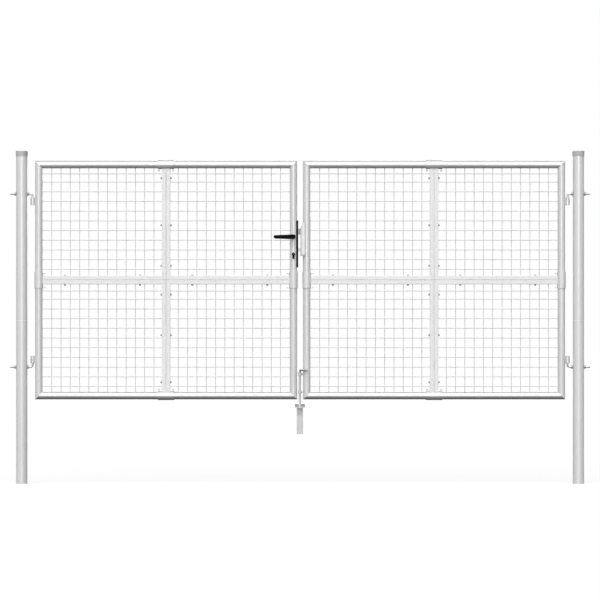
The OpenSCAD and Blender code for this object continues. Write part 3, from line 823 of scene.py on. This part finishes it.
def make_hinges():
    """Threaded bolts through the posts, bent over into plain pins, and their nuts."""
    nuts = bmesh.new()
    for leaf in LEAVES:
        side = leaf.inward
        post_low, post_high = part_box(f"{leaf.side}_post_lower")
        hooks_low, hooks_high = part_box(f"{leaf.side}_hook_bolts")
        eyes_low, eyes_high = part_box(f"{leaf.side}_hinge_eyes")
        post_x = (post_low.x + post_high.x) / 2
        post_r = (post_high.x - post_low.x) / 2
        free_x = hooks_low.x if side > 0 else hooks_high.x
        pin_x = post_x + side * (post_r + HINGE_OUT)
        pin_l = EYE_L - PIN_SHORT
        hooks = ((leaf.high.z - UPPER_HOOK_IN, -1, eyes_high.z - pin_l),
                 (leaf.low.z + LOWER_HOOK_IN, 1, eyes_low.z + pin_l))
        bm = bmesh.new()
        for z, turn, pin_end_z in hooks:
            bend = hook_bend(Vector((pin_x, 0, z)), side, turn)
            add_thread(bm, (free_x, 0, z), bend[0] + Vector((side * THREAD_LAP, 0, 0)),
                       HOOK_R, THREAD_PITCH, THREAD_DEPTH)
            tip = Vector((pin_x, 0, pin_end_z))
            bevel = Vector((0, 0, -turn * PIN_BEVEL_L))
            path = [*bend, tip + bevel, tip]
            radii = [HOOK_R * HOOK_BEND_START, *[HOOK_R] * (len(path) - 2),
                     HOOK_R - PIN_BEVEL_R]
            add_sweep(bm, path, radii, sides=24)
            for face in BOTH_WAYS:
                out = Vector((face, 0, 0))
                seat = Vector((post_x + face * post_r, 0, z))
                add_washer(nuts, seat, out, WASHER_R, HOOK_R, WASHER_T)
                add_hexagon(nuts, seat + out * WASHER_T, out, NUT_AF, NUT_H, HOOK_R)
        threaded = finish_piece(bm, f"{leaf.side}_hook_bolts_threaded", "posts",
                                HOOK_ZINC)
        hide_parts(f"{leaf.side}_hook_bolts")
    chamfered = finish_piece(nuts, "hook_bolt_nuts_chamfered", "posts",
                             NUT_ZINC_PAINTED_SHADE)
    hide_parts("hook_bolt_nuts")


# ---------- bolts of the leaves ----------

def make_bar_bolts(leaf):
    """Bolts that hold the square bars back to back: a head, and a nut on the end."""
    bm = bmesh.new()
    upper_heads = bmesh.new()
    spots = [((0, 0, s * rise), (1, 0, 0)) for rise in BAR_BOLT_RISES for s in BOTH_WAYS]
    spots += [((s * run, 0, 0), (0, 0, -1)) for run in BAR_BOLT_RUNS for s in BOTH_WAYS]
    for offset, axis in spots:
        out = Vector(axis)
        centre = leaf.mid + Vector(offset)
        head = centre - out * BAR_FACE
        tail = centre + out * BAR_FACE
        heads = upper_heads if axis[2] else bm
        add_washer(heads, head, -out, BAR_WASHER_R, SMALL_BOLT_R, BAR_WASHER_T)
        add_hexagon(heads, head - out * BAR_WASHER_T, -out, BAR_BOLT_AF, BAR_BOLT_HEAD_H)
        add_washer(bm, tail, out, BAR_WASHER_R, SMALL_BOLT_R, BAR_WASHER_T)
        add_hexagon(bm, tail + out * BAR_WASHER_T, out, BAR_BOLT_AF, BAR_BOLT_NUT_H,
                    SMALL_BOLT_R)
        add_small_thread(bm, tail, tail + out * BAR_BOLT_END)
    finish_piece(bm, f"{leaf.side}_bar_bolts", leaf.body, DARK_PLATED)
    finish_piece(upper_heads, f"{leaf.side}_bar_bolt_heads", leaf.body, PLATED)


def make_sleeve_bolts(leaf):
    """Pale spacers, nuts and bolt ends on the mesh side of each joining sleeve."""
    bm = bmesh.new()
    spacers = bmesh.new()
    rail_face = leaf.rail_in - leaf.sleeve_r
    stile_face = leaf.stile_in - leaf.sleeve_r
    places = []
    for side in BOTH_WAYS:
        for shift in (-SLEEVE_BOLT_RUN, SLEEVE_BOLT_RUN):
            places.append(((shift, 0, side * rail_face), (0, 0, -side)))
            places.append(((side * stile_face, 0, shift), (-side, 0, 0)))
    for offset, axis in places:
        out = Vector(axis)
        seat = leaf.mid + Vector(offset) - out * SPACER_SINK
        add_washer(spacers, seat, out, SPACER_R, SMALL_BOLT_R, SPACER_L)
        add_hexagon(bm, seat + out * SPACER_L, out, SLEEVE_NUT_AF, SLEEVE_NUT_H,
                    SMALL_BOLT_R)
        add_small_thread(bm, seat, seat + out * (SPACER_L + SLEEVE_BOLT_END))
    finish_piece(bm, f"{leaf.side}_sleeve_bolts", leaf.body, PLATED)
    finish_piece(spacers, f"{leaf.side}_sleeve_spacers", leaf.body,
                 BRIGHT_PLATED)


# ---------- weld beads and joint rings ----------

def make_leaf_welds(leaf):
    """Beads round the mitred corners, over the bars' mitres and at the bars' ends."""
    bm = bmesh.new()
    mid, r = leaf.mid, leaf.tube_r
    for x, z in CORNERS:
        corner = mid + Vector((x * leaf.stile_in, 0, z * leaf.rail_in))
        add_round_bead(bm, corner, Vector((0, r, 0)), Vector((x * r, 0, z * r)),
                       CORNER_BEAD_R)
    near = BAR_FACE - BAR_W + BEAD_END
    far = BAR_FACE - BEAD_END
    sleeve_dip = math.sqrt(leaf.sleeve_r ** 2 - (BAR_W / 2) ** 2)
    for face in BOTH_WAYS:
        y = face * BAR_W / 2
        for x, z in CORNERS:
            add_bead(bm, [mid + Vector((x * near, y, z * near)),
                          mid + Vector((x * far, y, z * far))], MITRE_BEAD_R)
        for side in BOTH_WAYS:
            z = side * (leaf.rail_in - sleeve_dip)
            x = side * (leaf.stile_in - sleeve_dip)
            add_bead(bm, [mid + Vector((-far, y, z)), mid + Vector((far, y, z))],
                     BAR_END_BEAD_R)
            add_bead(bm, [mid + Vector((x, y, -far)), mid + Vector((x, y, far))],
                     BAR_END_BEAD_R)
    finish_piece(bm, f"{leaf.side}_frame_welds", leaf.body, WELD)


def make_eye_welds(leaf):
    """Beads down both sides of the joint between a hinge eye and its stile."""
    bm = bmesh.new()
    eyes_low, eyes_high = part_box(f"{leaf.side}_hinge_eyes")
    touch_x = leaf.low.x if leaf.inward > 0 else leaf.high.x
    for foot in (eyes_low.z, eyes_high.z - EYE_L):
        for face in BOTH_WAYS:
            spot = Vector((touch_x - leaf.inward * EYE_BEAD_OUT, face * EYE_BEAD_Y, foot))
            add_bead(bm, [spot + Vector((0, 0, EYE_BEAD_END)),
                          spot + Vector((0, 0, EYE_L - EYE_BEAD_END))], EYE_BEAD_R)
    finish_piece(bm, f"{leaf.side}_eye_welds", leaf.body, WELD)


def make_rod_and_keep_welds(leaf):
    """Beads at both ends of the guides' arms, and stitches down the keep's cheeks."""
    bm = bmesh.new()
    collar_low, collar_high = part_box("ground_socket_collar")
    rod_x = (collar_low.x + collar_high.x) / 2
    ring = GUIDE_ARM_R + GUIDE_BEAD_GROW
    for rise in GUIDE_RISES:
        for x in (leaf.low.x - ARM_TO_STILE, rod_x + GUIDE_R + ARM_TO_GUIDE):
            add_round_bead(bm, (x, 0, leaf.low.z + rise), Vector((0, ring, 0)),
                           Vector((0, 0, ring)), GUIDE_BEAD_R, steps=20)
    keep_low, keep_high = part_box("lock_keep")
    for face in BOTH_WAYS:
        for share in KEEP_BEAD_FEET:
            foot = keep_low.z + share * (keep_high.z - keep_low.z)
            spot = Vector((keep_high.x + KEEP_BEAD_OUT, face * KEEP_BEAD_Y, foot))
            add_bead(bm, [spot, spot + Vector((0, 0, KEEP_BEAD_L))], KEEP_BEAD_R)
    finish_piece(bm, "guide_and_keep_welds", leaf.body, WELD)


def make_socket_weld():
    """A bead round the socket tube, under its collar."""
    bm = bmesh.new()
    low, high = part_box("ground_socket_collar")
    mid = (low + high) / 2
    half = SOCKET_W / 2
    path = []
    for x, y, first in ((1, 1, "x"), (-1, 1, "y"), (-1, -1, "x"), (1, -1, "y")):
        near_x = Vector((x * half, y * (half - SOCKET_CORNER), 0))
        near_y = Vector((x * (half - SOCKET_CORNER), y * half, 0))
        path += [near_x, near_y] if first == "x" else [near_y, near_x]
    foot = Vector((mid.x, mid.y, low.z - SOCKET_BEAD_DROP))
    add_bead(bm, [foot + p for p in path], SOCKET_BEAD_R, loop=True)
    finish_piece(bm, "socket_weld", "posts", WELD)


def make_post_joint_rings():
    """Thin sealing rings in the grooves where the posts' sections meet."""
    bm = bmesh.new()
    for leaf in LEAVES:
        low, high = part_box(f"{leaf.side}_post_lower")
        mid_x = (low.x + high.x) / 2
        r = (high.x - low.x) / 2
        profile = [(r - RING_INNER, -RING_HALF_H), (r - RING_EDGE, -RING_HALF_H),
                   (r + RING_PROUD, 0),
                   (r - RING_EDGE, RING_HALF_H), (r - RING_INNER, RING_HALF_H)]
        add_lathe(bm, profile, (mid_x, 0, POST_JOINT_Z), (0, 0, 1), sides=64)
    finish_piece(bm, "post_joint_rings", "posts", RING_WHITE)


# ---------- lock ----------

def cylinder_outline(grow):
    """Points of the key cylinder's outline: a round head on a round-ended leg."""
    head_r = CYLINDER_R + grow
    leg_r = CYLINDER_LEG_R + grow
    foot_z = CYLINDER_LEG_R - CYLINDER_LEG_L
    shoulder = math.asin(leg_r / head_r)
    points = []
    for i in range(HEAD_STEPS + 1):
        t = -math.pi / 2 + shoulder + (2 * math.pi - 2 * shoulder) * i / HEAD_STEPS
        points.append((head_r * math.cos(t), head_r * math.sin(t)))
    for i in range(FOOT_STEPS + 1):
        t = math.pi + math.pi * i / FOOT_STEPS
        points.append((leg_r * math.cos(t), foot_z + leg_r * math.sin(t)))
    return points


def make_key_cylinder():
    """The cylinder's body with bevelled faces, and a plug with a keyway at each end."""
    low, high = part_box("lock_cylinder")
    mid = Vector(((low.x + high.x) / 2, 0, high.z - CYLINDER_R))
    half = (high.y - low.y) / 2
    bm = bmesh.new()
    rows = []
    for y, grow in ((-half, -CYLINDER_BEVEL), (-half + CYLINDER_BEVEL, 0),
                    (half - CYLINDER_BEVEL, 0), (half, -CYLINDER_BEVEL)):
        rows.append([bm.verts.new(mid + Vector((x, y, z))) for x, z in cylinder_outline(grow)])
    for front, back in zip(rows, rows[1:]):
        for i in range(len(front)):
            j = (i + 1) % len(front)
            bm.faces.new((front[i], front[j], back[j], back[i]))
    bm.faces.new(rows[0])
    bm.faces.new(rows[-1])
    body = finish_piece(bm, "key_cylinder_body", "left_leaf", DULL_BLACK)
    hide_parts("lock_cylinder")
    plugs = bmesh.new()
    for face in BOTH_WAYS:
        add_plug(plugs, mid + Vector((0, face * half, 0)), Vector((0, face, 0)))
    finish_piece(plugs, "key_cylinder_plugs", "left_leaf", PLUG_STEEL)


def add_plug(bm, centre, out, count=48):
    """A plug's round face, bevelled and dished, with a stepped keyway cut into it."""
    side, up = Vector((1, 0, 0)), Vector((0, 0, 1))
    around = [2 * math.pi * i / count for i in range(count)]
    dish = PLUG_RISE - DISH_DEPTH

    def circle(r, rise):
        return [centre + out * rise + (side * math.cos(t) + up * math.sin(t)) * r
                for t in around]

    def keyway(rise):
        ring = []
        for t in around:
            reach = min(KEYWAY_HALF_W / max(abs(math.cos(t)), 1e-6),
                        KEYWAY_HALF_H / max(abs(math.sin(t)), 1e-6))
            step = side * (KEYWAY_STEP if math.sin(t) > 0.2 else 0)
            ring.append(centre + out * rise + step
                        + (side * math.cos(t) + up * math.sin(t)) * reach)
        return ring

    add_rings(bm, [[centre], circle(PLUG_R, 0), circle(PLUG_R, PLUG_RISE - PLUG_BEVEL),
                   circle(PLUG_R - PLUG_BEVEL, PLUG_RISE), circle(DISH_R, PLUG_RISE),
                   circle(DISH_R - DISH_DEPTH, dish), keyway(dish),
                   keyway(-KEYWAY_DEPTH), [centre - out * KEYWAY_DEPTH]])


def make_faceplate_fittings():
    """Screws in the lock's faceplate, and the seals between it and the stile."""
    low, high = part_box("lock_faceplate")
    mid_z = (low.z + high.z) / 2
    reach = (high.z - low.z) / 2 - PLATE_SCREW_IN
    screws = bmesh.new()
    for side in BOTH_WAYS:
        add_socket_screw(screws, (high.x, 0, mid_z + side * reach), (1, 0, 0), *PLATE_SCREW)
    finish_piece(screws, "faceplate_screws", "left_leaf", PLUG_STEEL)
    seal = bmesh.new()
    leaf = LEFT_LEAF
    for face in BOTH_WAYS:
        y = face * (high.y + SEAL_OUT)
        x = leaf.mid.x + leaf.stile_in + math.sqrt(leaf.tube_r ** 2 - y ** 2)
        add_bead(seal, [(x, y, low.z + BEAD_END), (x, y, high.z - BEAD_END)], SEAL_R)
    finish_piece(seal, "faceplate_seal", "left_leaf", DULL_BLACK)


def make_neck_screws():
    """Grub screws under the necks of the two levers."""
    low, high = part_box("lever_spindle")
    spindle = (low + high) / 2
    bm = bmesh.new()
    for face in BOTH_WAYS:
        spot = spindle + Vector((0, face * NECK_SCREW_Y, -NECK_R))
        add_socket_screw(bm, spot, (0, 0, -1), *NECK_SCREW)
    finish_piece(bm, "lever_grub_screws", "lever", PLUG_STEEL)


dress_cad_nodes()
make_wires()
make_hinges()
for leaf in LEAVES:
    make_bar_bolts(leaf)
    make_sleeve_bolts(leaf)
    make_leaf_welds(leaf)
    make_eye_welds(leaf)
make_rod_and_keep_welds(RIGHT_LEAF)
make_socket_weld()
make_post_joint_rings()
make_key_cylinder()
make_faceplate_fittings()
make_neck_screws()


# ---------- studio ----------

WORLD_LIGHT = 0.12
FLOOR_GREY = 0.10            # the floor that lights the gate
FLOOR_PALE = 0.3             # the floor that is seen, with its glow
FLOOR_GLOW = 0.78
FLOOR_HALF = 40.0
LAMPS = (                    # name, direction towards it, strength, softness in degrees
    ("key", (-0.16, -0.70, 0.70), 2.68, 75),
    ("front", (0.06, -1.0, 0.12), 0.52, 30),
    ("back", (0.10, 1.0, 0.16), 0.65, 20),
)


def seen_rays(nodes, links):
    """1 for rays that show the background: camera, glossy and transmission rays."""
    path = nodes.new("ShaderNodeLightPath")
    first = add_math(nodes, links, "MAXIMUM", path.outputs["Is Camera Ray"],
                     path.outputs["Is Glossy Ray"])
    return add_math(nodes, links, "MAXIMUM", first, path.outputs["Is Transmission Ray"])


def add_seen_mix(nodes, links, unseen, seen):
    """One shader for the rays that show the background, another for the rest."""
    mix = nodes.new("ShaderNodeMixShader")
    links.new(seen_rays(nodes, links), mix.inputs["Fac"])
    links.new(unseen, mix.inputs[1])
    links.new(seen, mix.inputs[2])
    return mix.outputs["Shader"]


def make_world():
    """White where it is seen, and an even low light elsewhere."""
    world = bpy.data.worlds.new("studio")
    bpy.context.scene.world = world
    world.use_nodes = True
    nodes, links = world.node_tree.nodes, world.node_tree.links
    lighting = nodes["Background"]
    lighting.inputs["Color"].default_value = rgba(1)
    lighting.inputs["Strength"].default_value = WORLD_LIGHT
    white = nodes.new("ShaderNodeBackground")
    white.inputs["Color"].default_value = rgba(1)
    links.new(add_seen_mix(nodes, links, lighting.outputs["Background"],
                           white.outputs["Background"]),
              nodes["World Output"].inputs["Surface"])


def make_floor():
    """A pale floor that meets the white backdrop and keeps the gate's shadow."""
    bm = bmesh.new()
    corners = ((-1, -1), (1, -1), (1, 1), (-1, 1))
    bm.faces.new([bm.verts.new((x * FLOOR_HALF, y * FLOOR_HALF, 0)) for x, y in corners])
    mesh = bpy.data.meshes.new("floor")
    bm.to_mesh(mesh)
    bm.free()
    floor = bpy.data.objects.new("floor", mesh)
    bpy.context.scene.collection.objects.link(floor)
    material = bpy.data.materials.new("pale_floor")
    material.use_nodes = True
    nodes, links = material.node_tree.nodes, material.node_tree.links
    nodes.remove(nodes["Principled BSDF"])
    grey = nodes.new("ShaderNodeBsdfDiffuse")
    grey.inputs["Color"].default_value = rgba(FLOOR_GREY)
    pale = nodes.new("ShaderNodeBsdfDiffuse")
    pale.inputs["Color"].default_value = rgba(FLOOR_PALE)
    glow = nodes.new("ShaderNodeEmission")
    glow.inputs["Strength"].default_value = FLOOR_GLOW
    both = nodes.new("ShaderNodeAddShader")
    links.new(pale.outputs["BSDF"], both.inputs[0])
    links.new(glow.outputs["Emission"], both.inputs[1])
    links.new(add_seen_mix(nodes, links, grey.outputs["BSDF"], both.outputs["Shader"]),
              nodes["Material Output"].inputs["Surface"])
    mesh.materials.append(material)


def make_sun(name, towards_light, strength, softness_deg):
    """A soft lamp that shines from a given direction."""
    data = bpy.data.lights.new(name, "SUN")
    data.energy = strength
    data.angle = math.radians(softness_deg)
    lamp = bpy.data.objects.new(name, data)
    bpy.context.scene.collection.objects.link(lamp)
    lamp.rotation_mode = "QUATERNION"
    lamp.rotation_quaternion = Vector(towards_light).to_track_quat("Z", "Y")


def make_camera(distance, middle_x, height, seen_width):
    """Looks straight at the gate. seen_width is what the picture spans at the gate."""
    data = bpy.data.cameras.new("camera")
    data.sensor_width = 36
    data.lens = data.sensor_width * distance / seen_width
    camera = bpy.data.objects.new("camera", data)
    bpy.context.scene.collection.objects.link(camera)
    camera.location = (middle_x, -distance, height)
    camera.rotation_euler = (math.pi / 2, 0, 0)
    bpy.context.scene.camera = camera


make_world()
make_floor()
for lamp in LAMPS:
    make_sun(*lamp)
make_camera(distance=16.0, middle_x=1.4695, height=0.970, seen_width=3.169)
bpy.context.scene.view_settings.view_transform = "Standard"
